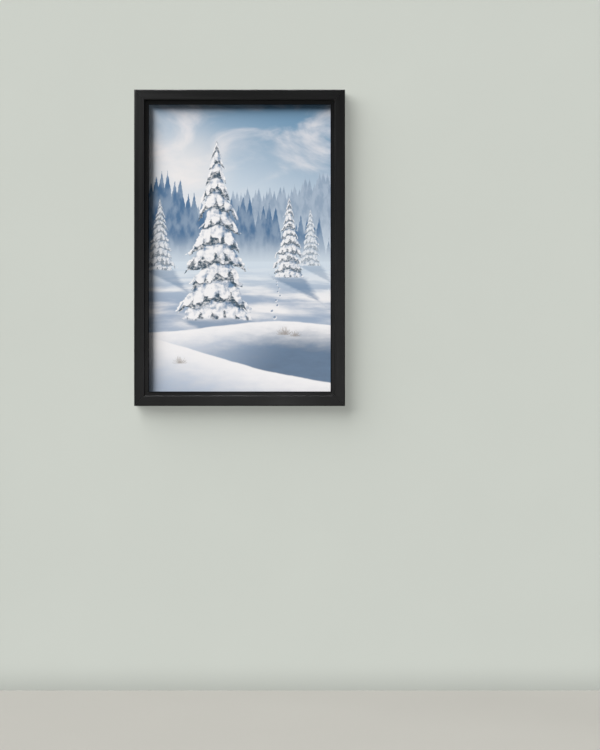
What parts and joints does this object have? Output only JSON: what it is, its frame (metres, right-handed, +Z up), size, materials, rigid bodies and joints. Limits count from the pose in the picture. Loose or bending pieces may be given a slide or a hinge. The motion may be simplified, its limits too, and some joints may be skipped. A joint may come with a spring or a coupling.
{
  "type": "framed canvas wall picture",
  "caption": "Upright canvas print stretched on wooden bars, set back inside a deep black frame with a lower inner step all round, and hung on a wall by a toothed hanger.",
  "frame": {"origin": "middle of the raised outer face of the toothed hanger on the top rail's back, where it meets the wall", "axes": "+Z up along the picture's height, +Y from the picture back into the wall, +X to the right as the picture is looked at from the front"},
  "size_m": [0.7, 0.048, 1.05],
  "materials": {
    "frame_wood": "satin black stain over fine straight grain",
    "canvas_print": "woven canvas with a matte printed winter scene, bare off-white at the back",
    "bar_pine": "bare planed pine",
    "key_wood": "bare sawn hardwood",
    "hardware": "zinc plated, satin",
    "pad_rubber": "matte"
  },
  "bodies": {
    "root": {"rail_bottom": "frame_wood", "rail_right": "frame_wood", "rail_top": "frame_wood", "rail_left": "frame_wood", "v_nail_bottom_left_1": "hardware", "v_nail_bottom_left_2": "hardware", "v_nail_bottom_right_1": "hardware", "v_nail_bottom_right_2": "hardware", "v_nail_top_right_1": "hardware", "v_nail_top_right_2": "hardware", "v_nail_top_left_1": "hardware", "v_nail_top_left_2": "hardware", "screw_bottom_1": "hardware", "screw_bottom_2": "hardware", "screw_right_1": "hardware", "screw_right_2": "hardware", "screw_top_1": "hardware", "screw_top_2": "hardware", "screw_left_1": "hardware", "screw_left_2": "hardware", "canvas": "canvas_print", "bar_bottom": "bar_pine", "bar_right": "bar_pine", "bar_top": "bar_pine", "bar_left": "bar_pine", "bar_crossbar": "bar_pine", "key_bottom_left_level": "key_wood", "key_bottom_left_upright": "key_wood", "key_bottom_right_level": "key_wood", "key_bottom_right_upright": "key_wood", "key_top_right_level": "key_wood", "key_top_right_upright": "key_wood", "key_top_left_level": "key_wood", "key_top_left_upright": "key_wood", "hanger": "hardware", "hanger_screw_left": "hardware", "hanger_screw_right": "hardware", "pad_left": "pad_rubber", "pad_right": "pad_rubber"}
  },
  "joints": []
}
